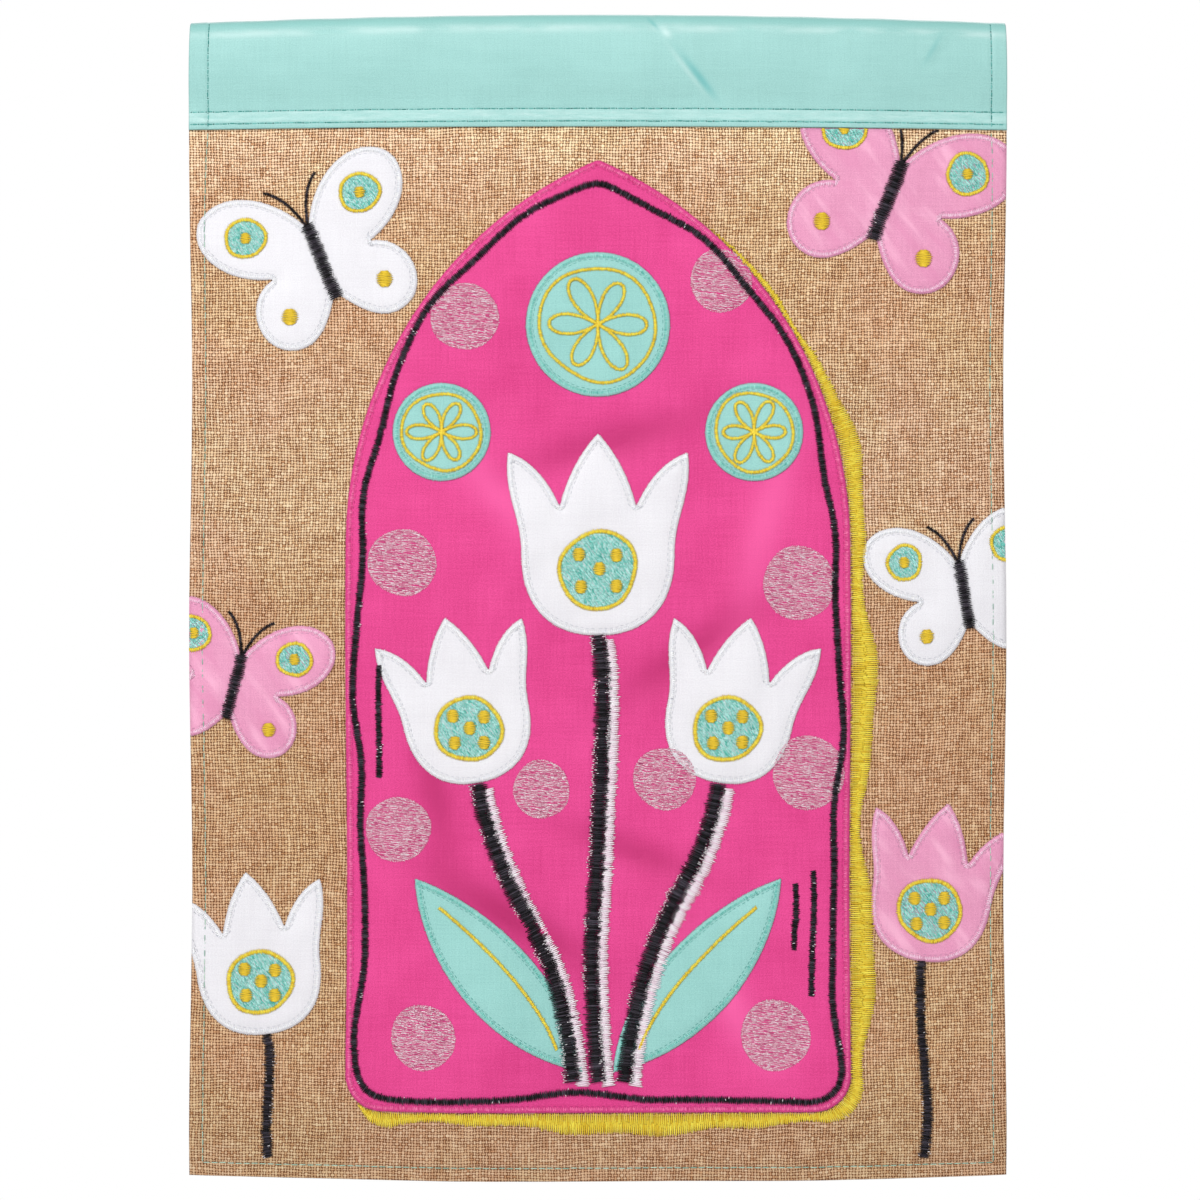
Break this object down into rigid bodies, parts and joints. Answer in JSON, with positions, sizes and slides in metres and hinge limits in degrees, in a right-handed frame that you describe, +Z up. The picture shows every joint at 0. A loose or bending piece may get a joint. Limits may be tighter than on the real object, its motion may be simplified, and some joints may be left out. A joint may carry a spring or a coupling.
{
  "type": "church banner",
  "caption": "Small hanging church banner of coarse plain-weave cloth with a rod sleeve along its top, turned hems, and sewn-on cloth shapes edged in satin stitch.",
  "frame": {"origin": "middle of the sleeve's top fold", "axes": "+X to the right as the face is seen, -Y out of the face, +Z up"},
  "size_m": [0.3186, 0.0108, 0.455],
  "materials": {
    "sacking": "coarse plain-woven jute-look cloth, about 20 yarns to the inch",
    "aqua_satin": "fine woven cloth with a soft satin sheen",
    "hot_pink_cloth": "fine woven cloth, slight sheen",
    "white_cloth": "fine woven cloth, slight sheen",
    "soft_pink_cloth": "fine woven cloth, slight sheen",
    "aqua_cloth": "fine woven cloth, slight sheen",
    "black_thread": "shiny embroidery thread in satin stitch",
    "white_thread": "shiny embroidery thread",
    "soft_pink_thread": "shiny embroidery thread",
    "pale_pink_thread": "shiny embroidery thread in open fill stitch",
    "hot_pink_thread": "shiny embroidery thread in satin stitch",
    "yellow_thread": "shiny embroidery thread",
    "aqua_thread": "shiny embroidery thread",
    "teal_sewing_thread": "sewing thread",
    "pale_sewing_thread": "sewing thread"
  },
  "bodies": {
    "root": {"panel": "sacking", "sleeve": "aqua_satin", "arch": "hot_pink_cloth", "butterfly_top_left": "white_cloth", "butterfly_top_right": "soft_pink_cloth", "butterfly_left": "soft_pink_cloth", "butterfly_right": "white_cloth", "tulip_low_left": "white_cloth", "tulip_low_right": "soft_pink_cloth", "tulip_middle": "white_cloth", "tulip_left": "white_cloth", "tulip_right": "white_cloth", "leaf_left": "aqua_cloth", "leaf_right": "aqua_cloth", "roundel_top": "aqua_cloth", "roundel_left": "aqua_cloth", "roundel_right": "aqua_cloth"}
  },
  "joints": []
}
